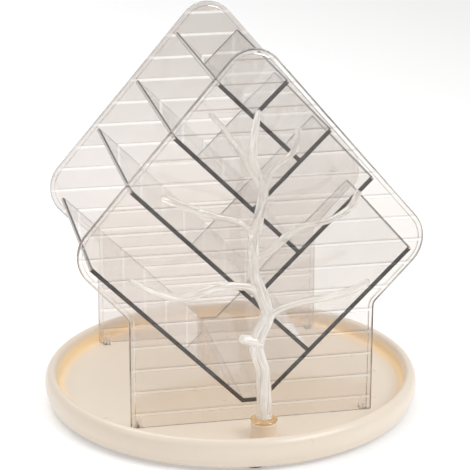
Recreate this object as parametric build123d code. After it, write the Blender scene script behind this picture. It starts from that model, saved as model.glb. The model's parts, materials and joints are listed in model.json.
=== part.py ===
from build123d import *
import math
import os

# Rotating makeup organizer: a round tray on a ball bearing base, a clear rack of
# slanted channels between two clear panels, and a clear jewellery tree in a socket.
# Millimetres. +Z up, origin on the turning axis at the height of the table,
# front towards -Y.

# ---------------------------------------------------------------- driving sizes
TRAY_R = 140.0            # largest radius of the tray
TRAY_BOTTOM_R = 137.2     # radius of the lower edge of the skirt
TRAY_BOTTOM_Z = 4.0
FLOOR_Z = 13.3            # top of the tray floor
FLOOR_T = 2.3
FLOOR_FLAT_R = 127.6      # the floor is flat up to this radius
RIM_Z = 24.3

PANEL_Y_FRONT = -77.0     # middle planes of the two panels
PANEL_Y_REAR = 89.9
PANEL_T = 2.4             # panel wall
BEAD_T = 3.6              # thickness of the edge bead
BEAD_W = 3.9              # width of the edge bead at its foot
BEAD_ROUND = 1.4          # rounding of the panel's outer edge
APEX_Z = 297.1            # where the two straight upper edges would meet
APEX_FILLET = 22.2
UPPER_SLOPE = 1.165
CORNER_X, CORNER_Z = 132.3, 143.0
CORNER_FILLET = 25.7
LEG_X, LEG_TOP_Z = 88.4, 96.0
LEG_FILLET = 7.0
RIB_Z0, RIB_PITCH, RIB_COUNT = 24.0, 16.84, 16
RIB_W = 2.0
RIB_H = 0.6

PLATE_T = 3.0             # divider plates
LAT_A, LAT_B, LAT_C, LAT_E = 21.1, 103.7, 170.6, 237.3   # |x| + z lines of the lattice
TROUGH_Z = 27.9           # middle of the trough's flat bottom
END_A, END_B, END_C, END_E = 113.6, 84.8, 54.3, 23.5     # |x| of the outer ends

BLOCK_X0, BLOCK_X1 = 80.0, 85.4
BLOCK_H = 8.0
BLOCK_D = 4.4
PEG_R = 1.5

BASE_R = 131.0
BASE_Z0, BASE_Z1 = 2.2, 4.4
FOOT_R, FOOT_RADIUS = 7.5, 124.0
FOOT_ANGLE = -93.9
BALL_R, BALL_RING_R, BALL_Z, BALL_COUNT = 2.5, 52.0, 7.7, 12
RACE_GROOVE_R = 2.8
POST_R = 7.0
BORE_R = 7.05

TREE_X, TREE_Y = 1.7, -108.0
BOSS_R, BOSS_TOP = 9.4, 24.9
COLLAR_T = 2.4
SPIGOT_R = 4.5

os.makedirs("parts", exist_ok=True)
nodes = {}


def ring(r0, r1, z0, z1):
    return Pos(0, 0, (z0 + z1) / 2) * (Cylinder(r1, z1 - z0) - Cylinder(r0, z1 - z0 + 1))


def disc(r, z0, z1, x=0.0, y=0.0):
    return Pos(x, y, (z0 + z1) / 2) * Cylinder(r, z1 - z0)


def box(x0, x1, y0, y1, z0, z1):
    return Pos((x0 + x1) / 2, (y0 + y1) / 2, (z0 + z1) / 2) * Box(x1 - x0, y1 - y0, z1 - z0)


def revolve_profile(points):
    face = Plane.XZ * make_face(Polyline(*points, close=True))
    return revolve(face, Axis.Z, 360)


def polar(r, a):
    return r * math.cos(math.radians(a)), r * math.sin(math.radians(a))


# ---------------------------------------------------------------- base
base = disc(BASE_R, BASE_Z0, BASE_Z1)
base += disc(14.0, BASE_Z0, 9.5)
base += ring(44.0, 60.0, BASE_Z1, 4.8)
base += ring(127.0, BASE_R, BASE_Z1, 6.0)
for k in range(8):
    rib = Rot(0, 0, 22.5 + 45 * k) * box(60.0, 127.5, -1.0, 1.0, 4.3, 6.0)
    base += rib
for k in range(8):
    rib = Rot(0, 0, 45 * k) * box(13.0, 44.5, -1.0, 1.0, 4.3, 6.0)
    base += rib
base -= disc(BORE_R, 0, 12)
base -= disc(11.6, 0, 4.2)
# lightening windows between the hub and the race
for k in range(8):
    x, y = polar(29.0, 22.5 + 45 * k)
    base -= disc(7.5, 0, 12, x, y)
# spigot holes of the feet
foot_names = ["foot_front", "foot_right", "foot_rear", "foot_left"]
for k in range(4):
    x, y = polar(FOOT_RADIUS, FOOT_ANGLE + 90 * k)
    base -= disc(3.0, 2.0, 3.4, x, y)
nodes["base_plate"] = base

foot_profile = [(0, 0), (6.7, 0), (7.5, 0.8), (7.5, 2.2), (3.0, 2.2), (3.0, 3.4), (0, 3.4)]
for k, name in enumerate(foot_names):
    x, y = polar(FOOT_RADIUS, FOOT_ANGLE + 90 * k)
    nodes[name] = Pos(x, y, 0) * revolve_profile(foot_profile)


# ---------------------------------------------------------------- ball bearing
def race(z0, z1):
    r = ring(46.5, 57.5, z0, z1)
    return r - Pos(0, 0, BALL_Z) * Torus(BALL_RING_R, RACE_GROOVE_R)


nodes["lower_race"] = race(4.8, 6.3)
nodes["upper_race"] = race(9.1, FLOOR_Z - FLOOR_T)

cage = ring(46.8, 57.2, BALL_Z - 0.7, BALL_Z + 0.7)
balls = []
for k in range(BALL_COUNT):
    x, y = polar(BALL_RING_R, 15 + 360 * k / BALL_COUNT)
    cage -= disc(BALL_R + 0.15, 0, 20, x, y)
    balls.append(Pos(x, y, BALL_Z) * Sphere(BALL_R))
nodes["ball_cage"] = cage
nodes["bearing_balls"] = Compound(children=balls)

# ---------------------------------------------------------------- tray
with BuildPart() as tray_build:
    with BuildSketch(Plane.XZ) as sk:
        with BuildLine():
            # outer wall, bulging, and the rounded crown of the rim
            Line((134.9, TRAY_BOTTOM_Z), (136.8, TRAY_BOTTOM_Z))
            Line((136.8, TRAY_BOTTOM_Z), (TRAY_BOTTOM_R, 4.5))
            Spline(
                (TRAY_BOTTOM_R, 4.5), (139.3, 10.5), (TRAY_R, 16.2), (139.2, 20.6),
                (137.2, 23.4), (134.9, RIM_Z), (132.7, 23.5), (131.2, 21.0), (130.6, 17.2),
                tangents=((0.25, 1), (0, -1)),
            )
            ThreePointArc((130.6, 17.2), (129.75, 14.25), (FLOOR_FLAT_R, FLOOR_Z))
            Line((FLOOR_FLAT_R, FLOOR_Z), (0, FLOOR_Z))
            Line((0, FLOOR_Z), (0, FLOOR_Z - FLOOR_T))
            Line((0, FLOOR_Z - FLOOR_T), (129.0, FLOOR_Z - FLOOR_T))
            # hollow underside of the rim
            Line((129.0, FLOOR_Z - FLOOR_T), (132.4, 13.6))
            Line((132.4, 13.6), (133.0, 19.6))
            Line((133.0, 19.6), (134.9, 21.9))
            Line((134.9, 21.9), (136.7, 20.0))
            Line((136.7, 20.0), (137.4, 16.0))
            Line((137.4, 16.0), (137.0, 11.0))
            Line((137.0, 11.0), (134.9, TRAY_BOTTOM_Z))
        make_face()
    revolve(axis=Axis.Z)
tray = tray_build.part
zt = FLOOR_Z - FLOOR_T
tray += disc(POST_R, 4.05, zt + 0.5)
tray += ring(6.0, 16.0, 10.2, zt + 0.5)
for k in range(12):
    tray += Rot(0, 0, 15 + 30 * k) * box(59.0, 127.0, -0.9, 0.9, 8.6, zt + 0.2)
    tray += Rot(0, 0, 15 + 30 * k) * box(15.5, 45.5, -0.9, 0.9, 9.0, zt + 0.2)
tray += ring(57.5, 59.5, 9.6, zt + 0.2)
tray += ring(44.5, 46.5, 9.6, zt + 0.2)
tray -= disc(2.0, 3.0, 10.6)
block_centres = []
for sx in (-1, 1):
    for sy, yp in ((1, PANEL_Y_FRONT), (-1, PANEL_Y_REAR)):
        block_centres.append((sx * (BLOCK_X0 + BLOCK_X1) / 2, yp + sy * (PANEL_T / 2 + BLOCK_D / 2), sx, sy))
for cx, cy, sx, sy in block_centres:
    tray -= disc(PEG_R, 10.0, 14.0, cx, cy)
tray -= disc(3.0, 11.9, 14.0, TREE_X, TREE_Y)
nodes["tray"] = tray

nodes["retaining_washer"] = ring(2.05, 10.6, 3.05, 4.05)
screw = revolve_profile([(0, 1.3), (2.6, 1.3), (3.6, 2.1), (3.6, 3.05), (2.0, 3.05), (2.0, 10.2), (1.6, 10.6), (0, 10.6)])
screw -= box(-2.4, 2.4, -0.45, 0.45, 1.0, 2.1)
screw -= box(-0.45, 0.45, -2.4, 2.4, 1.0, 2.1)
nodes["retaining_screw"] = screw

# ---------------------------------------------------------------- tree socket
socket_profile = [(0, 11.9), (3.0, 11.9), (3.0, FLOOR_Z), (BOSS_R + 0.5, FLOOR_Z), (BOSS_R + 0.2, 14.6),
                  (BOSS_R, 17.0), (BOSS_R, BOSS_TOP - 0.6), (BOSS_R - 0.6, BOSS_TOP), (SPIGOT_R + 0.05, BOSS_TOP),
                  (SPIGOT_R + 0.05, 15.6), (0, 15.6)]
nodes["tree_socket"] = Pos(TREE_X, TREE_Y, 0) * revolve_profile(socket_profile)

# ---------------------------------------------------------------- panels
ux, uz = 1.0, -UPPER_SLOPE
outline_pts = [
    (0, APEX_Z), (CORNER_X, CORNER_Z), (LEG_X, LEG_TOP_Z), (LEG_X, FLOOR_Z),
    (-LEG_X, FLOOR_Z), (-LEG_X, LEG_TOP_Z), (-CORNER_X, CORNER_Z),
]


def outline(inset):
    with BuildSketch() as s:
        with BuildLine():
            Polyline(*outline_pts, close=True)
        make_face()
        vs = s.vertices()
        fillet(vs.sort_by(Axis.Y)[-1], APEX_FILLET)
        vs = s.vertices()
        corners = [v for v in vs if abs(abs(v.X) - CORNER_X) < 0.01 and abs(v.Y - CORNER_Z) < 0.01]
        fillet(corners, CORNER_FILLET)
        vs = s.vertices()
        tops = [v for v in vs if abs(abs(v.X) - LEG_X) < 0.01 and abs(v.Y - LEG_TOP_Z) < 0.01]
        fillet(tops, LEG_FILLET)
        vs = s.vertices()
        feet = [v for v in vs if abs(abs(v.X) - LEG_X) < 0.01 and abs(v.Y - FLOOR_Z) < 0.01]
        fillet(feet, 1.6)
        if inset:
            offset(amount=-inset, kind=Kind.ARC, mode=Mode.REPLACE)
    return s.sketch


outer = outline(0)
inner = outline(BEAD_W) + Pos(0, FLOOR_Z + 6.0) * Rectangle(2 * (LEG_X - BEAD_W), 24.0)
solid = extrude(outer, BEAD_T / 2, both=True)
solid = fillet(solid.edges().filter_by(lambda e: abs(abs(e.center().Z) - BEAD_T / 2) < 1e-4), BEAD_ROUND)
# shallow recess inside the bead on both faces, with the ribs left standing on the outer face
# the bead's inner side slopes by 30 degrees
pocket_out = Pos(0, 0, PANEL_T / 2) * extrude(inner, 1.0, taper=-30)
pocket_in = mirror(pocket_out, Plane.XY)
ribs = None
for k in range(RIB_COUNT):
    z = RIB_Z0 + RIB_PITCH * k
    bar = Pos(0, z, PANEL_T / 2 + RIB_H / 2 - 0.5) * Box(280, RIB_W, RIB_H + 1.0)
    ribs = bar if ribs is None else ribs + bar
panel = solid - pocket_in - (pocket_out - ribs)
# drawn flat, outer face towards local +Z; stood up with local Y pointing up
front = Pos(0, PANEL_Y_FRONT, 0) * (Rot(90, 0, 0) * panel)
rear = Pos(0, PANEL_Y_REAR, 0) * (Rot(0, 0, 180) * (Rot(90, 0, 0) * panel))
nodes["front_panel"] = front
nodes["rear_panel"] = rear

Y0 = PANEL_Y_FRONT + PANEL_T / 2
Y1 = PANEL_Y_REAR - PANEL_T / 2


# ---------------------------------------------------------------- divider plates
def plate(pts):
    """Closed section in (x, z), run from panel to panel."""
    face = Plane.XZ.offset(-Y0) * make_face(Polyline(*pts, close=True))
    return extrude(face, Y1 - Y0, dir=(0, 1, 0))


H = PLATE_T / 2
D = H * math.sqrt(2)          # half thickness measured along x + z
Q = H / math.sqrt(2)


def slant(side, line, x_end, x_in, far):
    """45 degree plate: side -1 starts at the left edge and falls to the right.
    line is |x| + z on its middle; the inner end stops flush on the plate whose
    near face is at the sum `far`."""
    # middle line: z = line - t, x = t for side -1 (t runs from -x_end), mirrored for side +1
    t0 = -x_end
    z0 = line - t0
    # inner end: on the face (z - x) = far for side -1
    pts = []
    for s in (1, -1):
        # offset line x + z = line + s * D
        c = line + s * D
        x = (c - far) / 2
        pts.append((x, c - x))
    n = 6
    arc = []
    for i in range(n + 1):
        a = math.radians(225 - 180 * i / n)    # rounded outer end, from the lower face round to the upper
        arc.append((t0 + H * math.cos(a), z0 + H * math.sin(a)))
    pts = [pts[0], pts[1]] + arc
    pts = [(side * -1 * p[0], p[1]) for p in pts]
    return plate(pts)


# each plate ends on the upper or outer face of the plate it meets
nodes["divider_left_low"] = slant(-1, LAT_B, END_B, None, LAT_A + D)
nodes["divider_left_middle"] = slant(-1, LAT_C, END_C, None, LAT_B + D)
nodes["divider_left_high"] = slant(-1, LAT_E, END_E, None, LAT_C + D)
nodes["divider_right_low"] = slant(1, LAT_B, END_B, None, LAT_B + D)
nodes["divider_right_middle"] = slant(1, LAT_C, END_C, None, LAT_C + D)
nodes["divider_right_high"] = slant(1, LAT_E, END_E, None, LAT_E + D)

# wide V trough with a flat bottom, the lowest plate of the lattice
fx_out = (TROUGH_Z - H) - (LAT_A - D)      # |x| where the under side turns
fx_in = (TROUGH_Z + H) - (LAT_A + D)       # |x| where the upper side turns
ze = LAT_A + END_A
right_side = [(fx_out, TROUGH_Z - H)]
for i in range(7):
    a = math.radians(-45 + 180 * i / 6)
    right_side.append((END_A + H * math.cos(a), ze + H * math.sin(a)))
right_side.append((fx_in, TROUGH_Z + H))
left_side = [(-x, z) for x, z in reversed(right_side)]
nodes["v_trough"] = plate(right_side + left_side)

# ---------------------------------------------------------------- leg blocks
block_names = {(-1, 1): "leg_block_front_left", (1, 1): "leg_block_front_right",
               (-1, -1): "leg_block_rear_left", (1, -1): "leg_block_rear_right"}
for cx, cy, sx, sy in block_centres:
    w = (BLOCK_X1 - BLOCK_X0) / 2
    b = box(cx - w, cx + w, cy - BLOCK_D / 2, cy + BLOCK_D / 2, FLOOR_Z, FLOOR_Z + BLOCK_H)
    b = chamfer(b.edges().filter_by(lambda e: abs(e.center().Z - (FLOOR_Z + BLOCK_H)) < 1e-4
                                    and abs(e.center().Y - (cy - sy * BLOCK_D / 2)) > 1.0), 0.8)
    b -= front if sy == 1 else rear          # the block is cut out round the leg's bead
    b += disc(PEG_R, 11.2, FLOOR_Z + 0.2, cx, cy)
    nodes[block_names[(sx, sy)]] = b

# ---------------------------------------------------------------- jewellery tree
nodes["tree_collar"] = Pos(TREE_X, TREE_Y, 0) * revolve_profile(
    [(SPIGOT_R + 0.05, BOSS_TOP + 0.1), (BOSS_R - 0.3, BOSS_TOP + 0.1), (BOSS_R + 0.2, BOSS_TOP + 0.7),
     (BOSS_R + 0.2, BOSS_TOP + 1.7), (BOSS_R - 0.5, BOSS_TOP + COLLAR_T), (SPIGOT_R + 0.05, BOSS_TOP + COLLAR_T)])


def branch(points, r_start, r_end):
    """Round tapering branch through (x, z, dy, r) points, loft of circles along a spline."""
    pts = [Vector(p[0], TREE_Y + (p[2] if len(p) > 2 else 0.0), p[1]) for p in points]
    curve = Spline(*pts)
    n = max(4, int(curve.length / 9))
    sections = []
    for i in range(n + 1):
        t = i / n
        p = curve @ t
        d = curve % t
        r = r_start + (r_end - r_start) * t
        sections.append(Plane(origin=p, z_dir=d, x_dir=(0, 1, 0)) * Circle(r))
    body = loft(sections)
    tip = Pos(*(curve @ 1)) * Sphere(r_end + 0.15)
    return body, tip


BOTTOM = BOSS_TOP + 0.1
trunk_a, _ = branch([(1.7, 28.2), (1.6, 41.0), (1.0, 63.0), (-1.6, 72.5), (-3.8, 82.0), (-2.2, 91.0),
                     (1.6, 99.5), (3.4, 106.0)], 5.2, 5.0)
trunk_b, _ = branch([(2.0, 99.0), (3.2, 106.5), (1.2, 115.0), (-2.4, 125.0), (-5.6, 136.0), (-6.3, 149.0),
                     (-6.0, 160.0), (-4.2, 171.0), (-1.2, 183.5), (0.2, 191.5), (-0.9, 199.0), (-2.6, 204.0)], 4.4, 3.2)
tree = trunk_a + trunk_b
limbs = [
    ([(1.6, 107.5), (-2.4, 118.0), (-8.7, 125.6, -1.5), (-18.5, 128.2, -3.0), (-31.0, 128.9, -4.0), (-42.8, 125.8, -4.2),
      (-57.4, 123.0, -4.0), (-71.1, 126.1, -3.2), (-81.0, 130.6, -2.0), (-90.8, 136.2, 0)], 3.4, 2.1),
    ([(-6.4, 146.2), (-1.6, 148.4), (4.2, 151.6, -1.0), (10.7, 157.0, -2.4), (17.6, 163.5, -3.6), (26.5, 168.0, -4.0),
      (40.6, 170.3, -4.0), (50.2, 173.4, -3.6), (60.4, 179.6, -2.4), (66.3, 189.2, -1.0)], 3.3, 2.0),
    ([(0.6, 98.0), (5.2, 103.0), (10.6, 107.2, -1.4), (17.5, 110.6, -2.6), (29.0, 113.9, -3.4), (44.4, 116.0, -3.6),
      (60.5, 118.6, -2.6), (74.5, 124.0, -1.0)], 3.4, 2.0),
    ([(-6.0, 158.0), (-8.0, 164.5), (-13.0, 170.8, -1.4), (-22.0, 176.0, -2.6), (-35.0, 179.6, -3.4), (-51.0, 186.0, -2.8),
      (-68.2, 194.0, -1.4)], 3.2, 2.0),
    ([(-0.9, 196.0), (-3.2, 204.5), (-6.4, 214.5), (-6.9, 224.0), (-6.1, 233.0), (-4.8, 241.5), (-3.7, 249.1)], 3.3, 2.0),
    ([(-1.8, 197.5), (-5.2, 204.5, 0.3), (-9.6, 212.0, 0.8), (-15.2, 221.8, 1.0), (-21.8, 231.0, 0.4), (-28.0, 240.6, -0.6), (-35.5, 248.7, -1.2)], 3.0, 1.9),
    ([(0.0, 193.0), (3.2, 202.4, -0.4), (8.6, 211.0, -1.2), (14.4, 215.8, -1.8), (20.2, 220.8, -1.8), (23.4, 227.2, -1.2), (23.9, 236.0, -0.4)], 3.0, 1.9),
    ([(-1.5, 84.5), (-7.2, 86.4, -0.6), (-13.4, 88.2, -1.2)], 4.6, 3.8),
]
for pts, r0, r1 in limbs:
    body, tip = branch(pts, r0, r1)
    tree = tree + body
    tree = tree + tip
tree += disc(SPIGOT_R, 15.8, 28.0, TREE_X, TREE_Y)
tree += disc(6.0, BOSS_TOP + COLLAR_T + 0.05, 29.6, TREE_X, TREE_Y)
nodes["jewellery_tree"] = tree

# ---------------------------------------------------------------- write
for name, shape in nodes.items():
    export_step(shape, "parts/" + name + ".step")
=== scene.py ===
import bpy
import bmesh
import json
import math

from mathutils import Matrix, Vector, noise
from mathutils.kdtree import KDTree


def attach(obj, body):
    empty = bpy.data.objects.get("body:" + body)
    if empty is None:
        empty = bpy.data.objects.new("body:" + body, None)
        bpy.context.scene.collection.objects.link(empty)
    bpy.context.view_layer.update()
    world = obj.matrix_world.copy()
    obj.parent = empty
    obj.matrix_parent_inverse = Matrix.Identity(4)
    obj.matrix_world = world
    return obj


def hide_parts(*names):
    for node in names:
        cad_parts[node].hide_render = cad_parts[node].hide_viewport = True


# Rotating makeup organizer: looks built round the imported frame. Metres, +Z up,
# origin on the turning axis at the height of the floor, front towards -Y.
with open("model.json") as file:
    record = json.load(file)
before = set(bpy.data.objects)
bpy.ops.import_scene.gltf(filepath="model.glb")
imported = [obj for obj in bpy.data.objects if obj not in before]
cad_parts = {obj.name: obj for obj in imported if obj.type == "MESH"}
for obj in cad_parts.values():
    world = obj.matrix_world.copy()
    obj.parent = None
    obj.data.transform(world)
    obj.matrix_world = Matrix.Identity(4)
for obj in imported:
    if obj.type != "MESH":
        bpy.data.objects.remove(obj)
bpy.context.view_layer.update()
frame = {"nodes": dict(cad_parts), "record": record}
NODES = frame["nodes"]

PANEL_Y_FRONT, PANEL_Y_REAR = -0.0770, 0.0899
PLATE_Y0, PLATE_Y1 = -0.0758, 0.0887
TREE_X, TREE_Y = 0.0017, -0.1080


# ------------------------------------------------------------------ node helpers
class Tree:
    """Small helper round a material's node tree."""

    def __init__(self, name):
        self.mat = bpy.data.materials.new(name)
        self.mat.use_nodes = True
        self.nt = self.mat.node_tree
        self.nt.nodes.clear()
        self.out = self.nt.nodes.new("ShaderNodeOutputMaterial")

    def node(self, kind, **settings):
        n = self.nt.nodes.new(kind)
        for k, v in settings.items():
            setattr(n, k, v)
        return n

    def link(self, a, b):
        self.nt.links.new(a, b)

    def object_coords(self):
        return self.node("ShaderNodeTexCoord").outputs["Object"]

    def noise(self, coords, scale, detail=3.0, rough=0.5, stretch=None):
        n = self.node("ShaderNodeTexNoise")
        n.inputs["Scale"].default_value = scale
        n.inputs["Detail"].default_value = detail
        n.inputs["Roughness"].default_value = rough
        if stretch:
            m = self.node("ShaderNodeMapping")
            m.inputs["Scale"].default_value = stretch
            self.link(coords, m.inputs["Vector"])
            coords = m.outputs["Vector"]
        self.link(coords, n.inputs["Vector"])
        return n.outputs["Fac"]

    def ramp(self, value, low, high, a, b):
        m = self.node("ShaderNodeMapRange")
        m.inputs["From Min"].default_value = low
        m.inputs["From Max"].default_value = high
        m.inputs["To Min"].default_value = a
        m.inputs["To Max"].default_value = b
        self.link(value, m.inputs["Value"])
        return m.outputs["Result"]

    def mix_colour(self, fac, a, b):
        m = self.node("ShaderNodeMix", data_type="RGBA")
        if hasattr(fac, "links") or hasattr(fac, "is_linked"):
            self.link(fac, m.inputs["Factor"])
        else:
            m.inputs["Factor"].default_value = fac
        for v, s in ((a, m.inputs[6]), (b, m.inputs[7])):
            if isinstance(v, tuple):
                s.default_value = (*v, 1.0)
            else:
                self.link(v, s)
        return m.outputs[2]

    def bump(self, height, strength, distance):
        b = self.node("ShaderNodeBump")
        b.inputs["Strength"].default_value = strength
        b.inputs["Distance"].default_value = distance
        self.link(height, b.inputs["Height"])
        return b.outputs["Normal"]

    def math(self, op, a, b=None, clamp=False):
        m = self.node("ShaderNodeMath", operation=op, use_clamp=clamp)
        for i, v in enumerate((a, b)):
            if v is None:
                continue
            if isinstance(v, (int, float)):
                m.inputs[i].default_value = v
            else:
                self.link(v, m.inputs[i])
        return m.outputs[0]


def plastic(name, colour, darker, rough, mottle, grain, coat=0.0, sss=0.0, corner_shade=None):
    """Moulded plastic: faint flow mottling, fine moulded grain, uneven gloss."""
    t = Tree(name)
    co = t.object_coords()
    p = t.node("ShaderNodeBsdfPrincipled")
    flow = t.noise(co, mottle, 4.0, 0.55, (1, 1, 2.2))
    body = t.mix_colour(t.ramp(flow, 0.3, 0.7, 0.0, 1.0), colour, darker)
    if corner_shade:
        # painted shade: a deeper, warmer tone painted where the floor turns up into the rim, standing in for the
        # contact shade of that inner corner
        xyz = t.node("ShaderNodeSeparateXYZ")
        t.link(co, xyz.inputs[0])
        r = t.math("SQRT", t.math("ADD", t.math("MULTIPLY", xyz.outputs["X"], xyz.outputs["X"]),
                                  t.math("MULTIPLY", xyz.outputs["Y"], xyz.outputs["Y"])))
        rise = t.ramp(r, 0.1235, 0.1292, 0.0, 1.0)
        fall = t.ramp(xyz.outputs["Z"], 0.0165, 0.0222, 1.0, 0.0)
        inside = t.math("MULTIPLY", t.math("LESS_THAN", r, 0.1330), t.math("GREATER_THAN", xyz.outputs["Z"], 0.0131))
        body = t.mix_colour(t.math("MULTIPLY", t.math("MULTIPLY", rise, fall), inside), body, corner_shade)
    t.link(body, p.inputs["Base Color"])
    smear = t.noise(co, 46.0, 5.0, 0.6, (1, 1, 0.35))
    t.link(t.ramp(smear, 0.3, 0.7, rough[0], rough[1]), p.inputs["Roughness"])
    fine = t.noise(co, grain, 2.0, 0.5)
    wide = t.noise(co, 30.0, 2.0, 0.5)
    height = t.math("ADD", t.math("MULTIPLY", fine, 0.25), wide)
    t.link(t.bump(height, 0.06, 0.0006), p.inputs["Normal"])
    p.inputs["IOR"].default_value = 1.5
    p.inputs["Coat Weight"].default_value = coat
    p.inputs["Coat Roughness"].default_value = 0.12
    if sss:
        p.inputs["Subsurface Weight"].default_value = sss
        p.inputs["Subsurface Radius"].default_value = (1.0, 0.75, 0.5)
        p.inputs["Subsurface Scale"].default_value = 0.004
    t.link(p.outputs[0], t.out.inputs["Surface"])
    return t.mat


def clear(name, tint, shade, rough=(0.0, 0.03), wave=(38.0, 0.10), dark_ends=None, stretch=None, ior=1.49, ribs=None,
          edge=None, through=1.0, top=None, sides=None):
    """Clear moulded plastic: a shell that bends light, with the faint waviness of
    moulding, which lets lamps and bounced light through."""
    t = Tree(name)
    co = t.object_coords()
    p = t.node("ShaderNodeBsdfPrincipled")
    p.inputs["Transmission Weight"].default_value = through
    p.inputs["IOR"].default_value = ior
    haze = t.noise(co, 24.0, 4.0, 0.6)
    body = t.mix_colour(t.ramp(haze, 0.35, 0.65, 0.0, 1.0), tint, tuple(c * 0.965 for c in tint))
    if top:
        # painted light and shade: the upper part is painted in another tint, standing in for the different part of the
        # studio it stands against
        xyz = t.node("ShaderNodeSeparateXYZ")
        t.link(co, xyz.inputs[0])
        body = t.mix_colour(t.ramp(xyz.outputs["Z"], top[0], top[1], 0.0, 1.0), body, top[2])
    if ribs:
        # painted highlight: the thicker ribs of the panels are painted paler than the wall between them, standing in
        # for the paler light they pass
        xyz = t.node("ShaderNodeSeparateXYZ")
        t.link(co, xyz.inputs[0])
        turn = t.math("DIVIDE", t.math("SUBTRACT", xyz.outputs["Z"], ribs[0]), ribs[1])
        above = t.math("MULTIPLY", t.math("SUBTRACT", t.math("FRACT", t.math("ADD", turn, 0.5)), 0.5), ribs[1])
        near = t.math("ABSOLUTE", above)
        on = t.ramp(near, ribs[2] * 0.5, ribs[2] * 0.5 + 0.0004, 1.0, 0.0)
        out = t.math("SUBTRACT", t.math("ABSOLUTE", t.math("SUBTRACT", xyz.outputs["Y"], 0.00645)), 0.08345)
        on = t.math("MULTIPLY", on, t.math("GREATER_THAN", out, -0.0013))
        body = t.mix_colour(on, body, ribs[3])
        # painted shade: a thin shade line painted along the top of every rib
        line = t.math("MULTIPLY", t.math("GREATER_THAN", above, ribs[2] * 0.5 - 0.0001),
                      t.math("LESS_THAN", above, ribs[2] * 0.5 + 0.00045))
        body = t.mix_colour(t.math("MULTIPLY", line, 0.75), body, ribs[4])
    if sides:
        # painted shade: the narrow sides of the bead and the ribs are painted darker, unevenly, standing in for the
        # light lost there
        turned = t.node("ShaderNodeSeparateXYZ")
        t.link(t.node("ShaderNodeTexCoord").outputs["Normal"], turned.inputs[0])
        lean = t.math("ABSOLUTE", turned.outputs["Y"])
        narrow = t.math("MULTIPLY", t.ramp(lean, 0.90, 0.97, 1.0, 0.0), t.ramp(lean, 0.22, 0.48, 0.0, 1.0))
        patch = t.ramp(t.noise(co, 22.0, 2.0, 0.5), 0.36, 0.60, 0.30, 1.0)
        body = t.mix_colour(t.math("MULTIPLY", narrow, patch), body, sides)
    t.link(body, p.inputs["Base Color"])
    t.link(t.ramp(haze, 0.35, 0.75, rough[0], rough[1]), p.inputs["Roughness"])
    ripple = t.noise(co, wave[0], 2.0, 0.45, stretch)
    t.link(t.bump(ripple, wave[1], 0.0012), p.inputs["Normal"])
    surface = p.outputs[0]
    if dark_ends:
        # painted shade: the front and rear end faces of the plates are painted near-black from outside, with an uneven
        # mottle, standing in for the dark their cut ends show
        y = t.node("ShaderNodeSeparateXYZ")
        t.link(co, y.inputs[0])
        front = t.math("LESS_THAN", y.outputs["Y"], dark_ends[0])
        back = t.math("GREATER_THAN", y.outputs["Y"], dark_ends[1])
        outside = t.math("SUBTRACT", 1.0, t.node("ShaderNodeNewGeometry").outputs["Backfacing"])
        end = t.math("MULTIPLY", t.math("MAXIMUM", front, back), outside)
        d = t.node("ShaderNodeBsdfPrincipled")
        end_shade_mottle = t.noise(co, 160.0, 3.0, 0.6)
        t.link(t.mix_colour(t.ramp(end_shade_mottle, 0.3, 0.7, 0.0, 1.0), dark_ends[2], dark_ends[3]), d.inputs["Base Color"])
        d.inputs["Roughness"].default_value = 0.3
        d.inputs["Specular IOR Level"].default_value = 0.15
        d.inputs["Transmission Weight"].default_value = 0.1
        m = t.node("ShaderNodeMixShader")
        t.link(end, m.inputs[0])
        t.link(surface, m.inputs[1])
        t.link(d.outputs[0], m.inputs[2])
        surface = m.outputs[0]
    if edge:
        # the rounded outer end: a clear rod, with a painted shade line along each side and a painted light band
        # between them, standing in for how light bends through it
        xyz = t.node("ShaderNodeSeparateXYZ")
        t.link(co, xyz.inputs[0])
        ax = t.math("ABSOLUTE", xyz.outputs["X"])
        u = t.math("SUBTRACT", t.math("ADD", ax, xyz.outputs["Z"]), edge[0] + 2 * edge[1])
        across = t.math("SUBTRACT", t.math("SUBTRACT", xyz.outputs["Z"], ax), edge[0])
        band = t.node("ShaderNodeValToRGB")
        stops = ((0.0, (0.20, 0.17, 0.16)), (0.13, (0.24, 0.21, 0.195)), (0.21, (0.88, 0.85, 0.82)),
                 (0.62, (0.80, 0.75, 0.71)), (0.75, (0.15, 0.125, 0.12)), (1.0, (0.12, 0.10, 0.095)))
        while len(band.color_ramp.elements) < len(stops):
            band.color_ramp.elements.new(0.5)
        for e, (at, c) in zip(band.color_ramp.elements, stops):
            e.position = at
            e.color = (*c, 1.0)
        t.link(t.ramp(across, -0.00212, 0.00212, 0.0, 1.0), band.inputs["Fac"])
        rod = t.node("ShaderNodeBsdfPrincipled")
        t.link(band.outputs["Color"], rod.inputs["Base Color"])
        rod.inputs["Roughness"].default_value = 0.12
        rod.inputs["Transmission Weight"].default_value = 0.48
        m = t.node("ShaderNodeMixShader")
        t.link(t.math("GREATER_THAN", u, 0.00005), m.inputs[0])
        t.link(surface, m.inputs[1])
        t.link(rod.outputs[0], m.inputs[2])
        surface = m.outputs[0]
    lp = t.node("ShaderNodeLightPath")
    through = t.math("MAXIMUM", lp.outputs["Is Shadow Ray"], lp.outputs["Is Diffuse Ray"])
    tr = t.node("ShaderNodeBsdfTransparent")
    tr.inputs["Color"].default_value = (*shade, 1.0)
    m = t.node("ShaderNodeMixShader")
    t.link(through, m.inputs[0])
    t.link(surface, m.inputs[1])
    t.link(tr.outputs[0], m.inputs[2])
    t.link(m.outputs[0], t.out.inputs["Surface"])
    return t.mat


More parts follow.
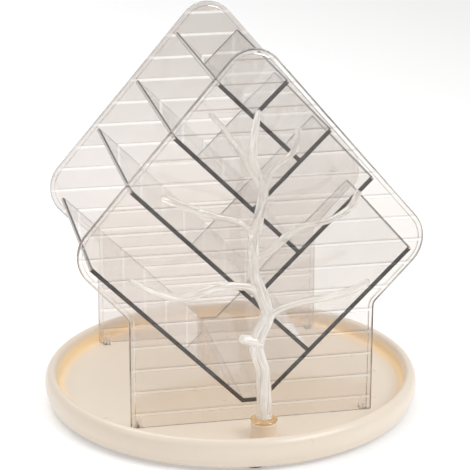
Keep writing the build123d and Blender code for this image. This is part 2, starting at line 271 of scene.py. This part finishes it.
def milky(name, colour, darker, rim_shade, clear_share):
    """Half clear, half milky moulded plastic with long streaks, which follow the grain
    kept in the mesh."""
    t = Tree(name)
    co = t.node("ShaderNodeAttribute", attribute_name="grain").outputs["Vector"]
    streak = t.noise(co, 2.6, 3.0, 0.55)
    p = t.node("ShaderNodeBsdfPrincipled")
    body = t.mix_colour(t.ramp(streak, 0.40, 0.62, 0.0, 1.0), colour, darker)
    # painted shade: the colour is painted darker towards the silhouette, standing in for the dark edges that
    # refraction gives
    facing = t.node("ShaderNodeLayerWeight")
    facing.inputs["Blend"].default_value = 0.42
    t.link(t.mix_colour(t.ramp(facing.outputs["Facing"], 0.35, 1.0, 0.0, 1.0), body, rim_shade), p.inputs["Base Color"])
    t.link(t.ramp(streak, 0.3, 0.7, 0.02, 0.10), p.inputs["Roughness"])
    xyz = t.node("ShaderNodeSeparateXYZ")
    t.link(t.object_coords(), xyz.inputs[0])
    t.link(t.ramp(xyz.outputs["Z"], 0.09, 0.16, clear_share[0], clear_share[1]), p.inputs["Transmission Weight"])
    p.inputs["IOR"].default_value = 1.45
    p.inputs["Coat Weight"].default_value = 1.0
    p.inputs["Coat Roughness"].default_value = 0.05
    t.link(t.bump(t.noise(co, 1.6, 2.0, 0.5), 0.45, 0.0010), p.inputs["Normal"])
    lp = t.node("ShaderNodeLightPath")
    tr = t.node("ShaderNodeBsdfTransparent")
    tr.inputs["Color"].default_value = (0.80, 0.78, 0.75, 1.0)
    m = t.node("ShaderNodeMixShader")
    t.link(lp.outputs["Is Shadow Ray"], m.inputs[0])
    t.link(p.outputs[0], m.inputs[1])
    t.link(tr.outputs[0], m.inputs[2])
    t.link(m.outputs[0], t.out.inputs["Surface"])
    return t.mat


def glint(name, dark, low, high):
    """Small clear block: bends light, with a few painted dark glints towards its foot, standing in for the dark
    streaks that refraction gives.
    """
    t = Tree(name)
    co = t.object_coords()
    n = t.noise(co, 380.0, 2.0, 0.5, (1, 1, 0.35))
    p = t.node("ShaderNodeBsdfPrincipled")
    xyz = t.node("ShaderNodeSeparateXYZ")
    t.link(co, xyz.inputs[0])
    foot = t.ramp(xyz.outputs["Z"], low, high, 1.0, 0.0)
    # painted shade: dark glint spots painted towards the foot of the block
    spot = t.math("MULTIPLY", t.ramp(n, 0.50, 0.60, 0.0, 1.0), foot)
    t.link(t.mix_colour(spot, (0.96, 0.95, 0.94), dark), p.inputs["Base Color"])
    t.link(t.ramp(n, 0.3, 0.7, 0.0, 0.08), p.inputs["Roughness"])
    t.link(t.bump(n, 0.25, 0.0006), p.inputs["Normal"])
    tr = t.node("ShaderNodeBsdfTransparent")
    tr.inputs["Color"].default_value = (0.97, 0.96, 0.95, 1.0)
    m = t.node("ShaderNodeMixShader")
    t.link(t.ramp(spot, 0.0, 1.0, 0.16, 0.75), m.inputs[0])
    t.link(tr.outputs[0], m.inputs[1])
    t.link(p.outputs[0], m.inputs[2])
    t.link(m.outputs[0], t.out.inputs["Surface"])
    return t.mat


def steel(name):
    t = Tree(name)
    co = t.object_coords()
    p = t.node("ShaderNodeBsdfPrincipled")
    p.inputs["Metallic"].default_value = 1.0
    n = t.noise(co, 300.0, 3.0, 0.6)
    t.link(t.mix_colour(n, (0.60, 0.60, 0.62), (0.74, 0.74, 0.75)), p.inputs["Base Color"])
    t.link(t.ramp(n, 0.3, 0.7, 0.12, 0.3), p.inputs["Roughness"])
    t.link(t.bump(n, 0.08, 0.0003), p.inputs["Normal"])
    t.link(p.outputs[0], t.out.inputs["Surface"])
    return t.mat


# cream tray plastic, with painted shade in the inner corner where the floor meets the rim
cream = plastic("cream_plastic", (0.765, 0.668, 0.558), (0.75, 0.648, 0.534), (0.26, 0.40), 7.0, 900.0, coat=0.25,
                corner_shade=(0.97, 0.735, 0.44))
base_mat = plastic("base_plastic", (0.66, 0.56, 0.45), (0.62, 0.52, 0.41), (0.45, 0.6), 9.0, 700.0)
race_mat = plastic("race_plastic", (0.80, 0.80, 0.77), (0.76, 0.76, 0.73), (0.3, 0.45), 14.0, 900.0)
cage_mat = plastic("cage_plastic", (0.060, 0.062, 0.070), (0.050, 0.052, 0.060), (0.4, 0.55), 14.0, 900.0)
rubber = plastic("foot_rubber", (0.26, 0.165, 0.095), (0.21, 0.13, 0.075), (0.6, 0.8), 60.0, 1400.0)
steel_mat = steel("steel")
# clear panels, with painted highlights on their ribs, painted light and shade on their tops, and painted shade on rib
# lines and narrow sides
front_mat = clear("clear_panel", (0.905, 0.865, 0.825), (0.97, 0.96, 0.95), (0.0, 0.02), (26.0, 0.06),
                  ribs=(0.024, 0.01684, 0.002, (0.985, 0.96, 0.935), (0.56, 0.50, 0.45)), through=0.965,
                  top=(0.17, 0.23, (0.98, 0.965, 0.945)), sides=(0.12, 0.10, 0.097))
# the rear panel: a copy of the panel material with darker body and top and paler sides, painted for the different
# light and shade at the back
rear_mat = clear("clear_panel_rear", (0.82, 0.775, 0.75), (0.97, 0.96, 0.95), (0.0, 0.02), (26.0, 0.06),
                 ribs=(0.024, 0.01684, 0.002, (0.955, 0.93, 0.905), (0.66, 0.61, 0.575)), through=0.92,
                 top=(0.17, 0.25, (0.70, 0.655, 0.62)), sides=(0.46, 0.425, 0.40))
# outer ends of the plates: |x| + line = z on the middle of a plate, and |x| of its end
EDGES = {"v_trough": (0.0211, 0.1136), "low": (0.1037, 0.0848), "middle": (0.1706, 0.0543), "high": (0.2373, 0.0235)}
# clear plates, with painted shade on their end faces and painted shade lines along their rounded outer ends
PLATE_MATS = {
    key: clear("clear_plate_" + key, (0.955, 0.945, 0.935), (0.97, 0.965, 0.96), (0.0, 0.03), (30.0, 0.06),
               dark_ends=(PLATE_Y0 + 0.0007, PLATE_Y1 - 0.0007, (0.008, 0.0055, 0.005), (0.030, 0.023, 0.021)), edge=e,
               through=0.97)
    for key, e in EDGES.items()}
# clear blocks, with painted dark glints near their feet
block_mat = glint("clear_block", (0.13, 0.11, 0.10), 0.0145, 0.0180)
# jewellery tree, painted darker towards its silhouette
tree_mat = milky("clear_tree", (0.96, 0.94, 0.91), (0.80, 0.745, 0.68), (0.52, 0.46, 0.41), (0.42, 0.72))
collar_mat = clear("clear_collar", (0.93, 0.79, 0.56), (0.92, 0.80, 0.64), (0.02, 0.06), (120.0, 0.2), through=0.90)

BY_SLOT = {"cream_plastic": cream, "base_plastic": base_mat, "race_plastic": race_mat, "cage_plastic": cage_mat,
           "steel": steel_mat, "foot_rubber": rubber, "clear_panel": front_mat, "clear_plate": PLATE_MATS["low"],
           "clear_block": block_mat, "clear_tree": tree_mat, "clear_collar": collar_mat}
SLOT_OF = {s["node"]: s["material_slot"] for s in frame["record"]["subparts"]}
for name, obj in NODES.items():
    mat = BY_SLOT[SLOT_OF[name]]
    if SLOT_OF[name] == "clear_plate":
        mat = PLATE_MATS[name if name in PLATE_MATS else name.rsplit("_", 1)[-1]]
    # the rear panel takes its copy with painted light and shade
    if name == "rear_panel":
        mat = rear_mat
    if not obj.material_slots:
        obj.data.materials.append(mat)
    for s in obj.material_slots:
        s.material = mat

# ------------------------------------------------------------------ jewellery tree
# The trunk is three strands grown together, and every limb has a lobed section.
# Points are x, z and y offset in millimetres, on the CAD tree's own lines.
TRUNK_A = [(1.7, 27.9), (1.65, 34.0), (1.6, 41.0), (1.0, 63.0), (-1.6, 72.5), (-3.8, 82.0), (-2.2, 91.0), (1.6, 99.5), (3.4, 106.0)]
TRUNK_B = [(2.0, 99.0), (3.2, 106.5), (1.2, 115.0), (-2.4, 125.0), (-5.6, 136.0), (-6.3, 149.0),
           (-6.0, 160.0), (-4.2, 171.0), (-1.2, 183.5), (0.2, 191.5), (-0.9, 199.0), (-2.6, 204.0)]
LIMBS = [
    ([(1.6, 107.5), (-2.4, 118.0), (-8.7, 125.6, -1.5), (-18.5, 128.2, -3.0), (-31.0, 128.9, -4.0), (-42.8, 125.8, -4.2),
      (-57.4, 123.0, -4.0), (-71.1, 126.1, -3.2), (-81.0, 130.6, -2.0), (-90.8, 136.2, 0)], 3.4, 2.1),
    ([(-6.4, 146.2), (-1.6, 148.4), (4.2, 151.6, -1.0), (10.7, 157.0, -2.4), (17.6, 163.5, -3.6), (26.5, 168.0, -4.0),
      (40.6, 170.3, -4.0), (50.2, 173.4, -3.6), (60.4, 179.6, -2.4), (66.3, 189.2, -1.0)], 3.3, 2.0),
    ([(0.6, 98.0), (5.2, 103.0), (10.6, 107.2, -1.4), (17.5, 110.6, -2.6), (29.0, 113.9, -3.4), (44.4, 116.0, -3.6),
      (60.5, 118.6, -2.6), (74.5, 124.0, -1.0)], 3.4, 2.0),
    ([(-6.0, 158.0), (-8.0, 164.5), (-13.0, 170.8, -1.4), (-22.0, 176.0, -2.6), (-35.0, 179.6, -3.4), (-51.0, 186.0, -2.8),
      (-68.2, 194.0, -1.4)], 3.2, 2.0),
    ([(-0.9, 196.0), (-3.2, 204.5), (-6.4, 214.5), (-6.9, 224.0), (-6.1, 233.0), (-4.8, 241.5), (-3.7, 249.1)], 3.3, 2.0),
    ([(-1.8, 197.5), (-5.2, 204.5, 0.3), (-9.6, 212.0, 0.8), (-15.2, 221.8, 1.0), (-21.8, 231.0, 0.4),
      (-28.0, 240.6, -0.6), (-35.5, 248.7, -1.2)], 3.0, 1.9),
    ([(0.0, 193.0), (3.2, 202.4, -0.4), (8.6, 211.0, -1.2), (14.4, 215.8, -1.8), (20.2, 220.8, -1.8), (23.4, 227.2, -1.2),
      (23.9, 236.0, -0.4)], 3.0, 1.9),
    ([(-1.5, 84.5), (-7.2, 86.4, -0.6), (-13.4, 88.2, -1.2)], 4.6, 3.8),
]


def spline(points, step=1.2):
    """Smooth line through the points, by uniform Catmull-Rom steps, sampled every `step` mm."""
    p = [Vector((q[0], TREE_Y * 1000 + (q[2] if len(q) > 2 else 0.0), q[1])) for q in points]
    p = [p[0] * 2 - p[1]] + p + [p[-1] * 2 - p[-2]]
    line = []
    for i in range(1, len(p) - 2):
        a, b, c, d = p[i - 1], p[i], p[i + 1], p[i + 2]
        n = max(2, int((c - b).length / step))
        for k in range(n):
            u = k / n
            line.append(0.5 * ((2 * b) + (c - a) * u + (2 * a - 5 * b + 4 * c - d) * u * u + (3 * b - a - 3 * c + d) * u ** 3))
    line.append(p[-2])
    return line


def tube(bm, line, r0, r1, lobes=3, depth=0.10, twist=0.05, phase=0.0, offset=0.0, seg=24, round_tip=True):
    """Closed tube along line with a lobed section. offset moves it off the line, so that
    strands wind round each other."""
    n = len(line)
    side = Vector((0, 1, 0))
    rings = []
    run = 0.0
    for i, c in enumerate(line):
        d = (line[min(i + 1, n - 1)] - line[max(i - 1, 0)]).normalized()
        side = (side - d * side.dot(d)).normalized()
        other = d.cross(side)
        if i:
            run += (c - line[i - 1]).length
        t = i / (n - 1)
        r = r0 + (r1 - r0) * t
        a0 = phase + twist * run
        centre = c + (side * math.cos(a0) + other * math.sin(a0)) * offset
        ring = []
        for k in range(seg):
            a = 2 * math.pi * k / seg
            w = 1.0 + depth * (math.cos(lobes * a + a0) - 1.0) * 0.5
            w += 0.05 * (noise.noise(Vector((math.cos(a), math.sin(a), run * 0.09 + phase))))
            ring.append(bm.verts.new(centre + (side * math.cos(a) + other * math.sin(a)) * r * w))
        rings.append((ring, centre, d, r))
    for (a, *_), (b, *_) in zip(rings, rings[1:]):
        for k in range(seg):
            bm.faces.new((a[k], a[(k + 1) % seg], b[(k + 1) % seg], b[k]))
    first = rings[0]
    low = bm.verts.new(first[1] - first[2] * 0.2)
    for k in range(seg):
        bm.faces.new((low, first[0][(k + 1) % seg], first[0][k]))
    last, centre, d, r = rings[-1]
    if round_tip:
        for j in range(1, 5):
            a = math.pi / 2 * j / 5
            ring = [bm.verts.new(centre + (v.co - centre) * math.cos(a) + d * r * math.sin(a)) for v in rings[-1][0]]
            for k in range(seg):
                bm.faces.new((last[k], last[(k + 1) % seg], ring[(k + 1) % seg], ring[k]))
            last = ring
        top = bm.verts.new(centre + d * r)
    else:
        top = bm.verts.new(centre + d * 0.2)
    for k in range(seg):
        bm.faces.new((last[k], last[(k + 1) % seg], top))


def grain_frames(line, start):
    """Centre, two cross directions and run of every point of a line, for the grain."""
    side, run, out = Vector((0, 1, 0)), start, []
    for i, c in enumerate(line):
        d = (line[min(i + 1, len(line) - 1)] - line[max(i - 1, 0)]).normalized()
        side = (side - d * side.dot(d)).normalized()
        if i:
            run += (c - line[i - 1]).length
        out.append((c, side.copy(), d.cross(side), run))
    return out


bm = bmesh.new()
line = spline(TRUNK_A)
for k in range(3):
    tube(bm, line, 3.3, 3.05, 2, 0.06, 0.022, 2.1 * k + 0.5, 2.7)
tube(bm, line, 3.5, 3.3, 3, 0.05, 0.022)
line = spline(TRUNK_B)
for k in range(3):
    tube(bm, line, 2.85, 1.8, 2, 0.06, 0.030, 2.1 * k + 0.1, 2.1)
tube(bm, line, 2.9, 1.8, 3, 0.05, 0.030)
for i, (pts, r0, r1) in enumerate(LIMBS):
    line = spline(pts)
    if i == len(LIMBS) - 1:
        tube(bm, line, r0, r1, 2, 0.05, 0.0, 0.3)
        continue
    for k in range(2):
        tube(bm, line, r0 * 0.76, r1 * 0.84, 2, 0.05, 0.035, math.pi * k + 0.9 * i, r0 * 0.28)
foot_line = [Vector((1.7, -108.0, 15.9 + 0.9 * k)) for k in range(15)]
tube(bm, foot_line, 4.35, 4.35, 1, 0.0, 0.0, 0.0, 0.0, 48, False)
foot_line = [Vector((1.7, -108.0, 27.6 + 0.3 * k)) for k in range(7)]
tube(bm, foot_line, 6.0, 5.5, 1, 0.0, 0.0, 0.0, 0.0, 48, False)
bmesh.ops.scale(bm, vec=(0.001, 0.001, 0.001), verts=bm.verts)
bmesh.ops.recalc_face_normals(bm, faces=bm.faces)
mesh = bpy.data.meshes.new("jewellery_tree_look")
bm.to_mesh(mesh)
bm.free()
tree = bpy.data.objects.new("jewellery_tree_look", mesh)
bpy.context.scene.collection.objects.link(tree)


def apply(obj, kind, **settings):
    m = obj.modifiers.new(kind.lower(), kind)
    for k, v in settings.items():
        setattr(m, k, v)
    bpy.context.view_layer.objects.active = obj
    with bpy.context.temp_override(object=obj, active_object=obj, selected_objects=[obj]):
        bpy.ops.object.modifier_apply(modifier=m.name)


apply(tree, "REMESH", mode="VOXEL", voxel_size=0.00047, use_smooth_shade=True)
apply(tree, "SMOOTH", factor=0.5, iterations=3)
bm = bmesh.new()
bm.from_mesh(tree.data)
left = set(bm.verts)
islands = []
while left:
    stack = [left.pop()]
    island = [stack[0]]
    while stack:
        for e in stack.pop().link_edges:
            for v in e.verts:
                if v in left:
                    left.discard(v)
                    stack.append(v)
                    island.append(v)
    islands.append(island)
islands.sort(key=len)
small = [v for island in islands[:-1] for v in island]
if small:
    bmesh.ops.delete(bm, geom=small, context="VERTS")
bm.to_mesh(tree.data)
bm.free()
print("tree faces", len(tree.data.polygons), "islands removed", len(islands) - 1)
for poly in tree.data.polygons:
    poly.use_smooth = True
grain = []
for i, pts in enumerate([TRUNK_A, TRUNK_B] + [limb[0] for limb in LIMBS]):
    grain += grain_frames(spline(pts), 300.0 * i)
tree_kd = KDTree(len(grain))
for i, g in enumerate(grain):
    tree_kd.insert(g[0], i)
tree_kd.balance()
values = []
for v in tree.data.vertices:
    p = v.co * 1000
    c, side, other, run = grain[tree_kd.find(p)[1]]
    values += [(p - c).dot(side) / 3, (p - c).dot(other) / 3, run * 0.03]
attribute = tree.data.attributes.new("grain", "FLOAT_VECTOR", "POINT")
attribute.data.foreach_set("vector", values)
tree.data.materials.clear()
tree.data.materials.append(tree_mat)
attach(tree, "tree")
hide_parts("jewellery_tree")

# ------------------------------------------------------------------ stage
bpy.ops.mesh.primitive_plane_add(size=30.0, location=(0, 0, 0))
floor = bpy.context.object
floor.name = "floor"
t = Tree("floor_paper")
p = t.node("ShaderNodeBsdfPrincipled")
xyz = t.node("ShaderNodeSeparateXYZ")
t.link(t.object_coords(), xyz.inputs[0])
# painted shade: the floor is painted darker towards +X, against the stronger light of the key lamp there, and glows
# faintly, so it reads as an evenly pale backdrop
t.link(t.mix_colour(t.ramp(xyz.outputs["X"], 0.0, 0.6, 0.0, 1.0), (0.74, 0.74, 0.74), (0.61, 0.605, 0.60)),
       p.inputs["Base Color"])
p.inputs["Roughness"].default_value = 0.8
p.inputs["Emission Color"].default_value = (1, 1, 1, 1)
p.inputs["Emission Strength"].default_value = 0.33
t.link(p.outputs[0], t.out.inputs["Surface"])
floor.data.materials.append(t.mat)

world = bpy.data.worlds.new("studio")
bpy.context.scene.world = world
world.use_nodes = True
wt = world.node_tree
wt.nodes.clear()
w_out = wt.nodes.new("ShaderNodeOutputWorld")
bg = wt.nodes.new("ShaderNodeBackground")
tc = wt.nodes.new("ShaderNodeTexCoord")
sep = wt.nodes.new("ShaderNodeSeparateXYZ")
wt.links.new(tc.outputs["Generated"], sep.inputs[0])
ramp = wt.nodes.new("ShaderNodeValToRGB")
ramp.color_ramp.elements[0].position = 0.0
ramp.color_ramp.elements[0].color = (0.70, 0.685, 0.675, 1)
ramp.color_ramp.elements[1].position = 1.0
ramp.color_ramp.elements[1].color = (1.0, 1.0, 1.0, 1)
half = wt.nodes.new("ShaderNodeMapRange")
half.inputs["From Min"].default_value = -1.0
half.inputs["From Max"].default_value = 0.6
wt.links.new(sep.outputs["Y"], half.inputs["Value"])
wt.links.new(half.outputs["Result"], ramp.inputs["Fac"])
wt.links.new(ramp.outputs["Color"], bg.inputs["Color"])
bg.inputs["Strength"].default_value = 0.62
wt.links.new(bg.outputs[0], w_out.inputs["Surface"])


def area(name, place, aim, size, power, colour=(1, 1, 1)):
    lamp = bpy.data.lights.new(name, "AREA")
    lamp.shape = "RECTANGLE"
    lamp.size, lamp.size_y = size
    lamp.energy = power
    lamp.color = colour
    o = bpy.data.objects.new(name, lamp)
    bpy.context.scene.collection.objects.link(o)
    o.location = place
    o.rotation_euler = (Vector(aim) - Vector(place)).to_track_quat("-Z", "Y").to_euler()
    return o


area("key_right", (1.2, -1.1, 1.5), (0, 0, 0.1), (1.4, 1.2), 25.0, (0.93, 0.97, 1.0))
area("top_back", (-0.6, 0.8, 2.3), (0, 0, 0.1), (1.8, 1.2), 22.0)
area("fill_left", (-1.6, -0.7, 1.3), (0, 0, 0.1), (1.0, 1.2), 4.5, (1.0, 0.96, 0.93))

# ------------------------------------------------------------------ camera
cam_data = bpy.data.cameras.new("camera")
cam = bpy.data.objects.new("camera", cam_data)
bpy.context.scene.collection.objects.link(cam)
cam.location = (-0.25894, -1.26046, 0.5575)
cam.rotation_euler = Vector((0.19001, 0.9292, -0.31699)).to_track_quat("-Z", "Y").to_euler()
cam_data.sensor_width = 36.0
cam_data.lens = 140.53
cam_data.shift_x = 0.01253
cam_data.clip_start = 0.05
cam_data.clip_end = 50.0
bpy.context.scene.camera = cam

sc = bpy.context.scene
sc.view_settings.view_transform = "Standard"
sc.view_settings.look = "None"
sc.view_settings.exposure = 0.0
sc.view_settings.gamma = 1.0
sc.cycles.max_bounces = 32
sc.cycles.transmission_bounces = 28
sc.cycles.transparent_max_bounces = 48
sc.cycles.glossy_bounces = 8
sc.cycles.diffuse_bounces = 5
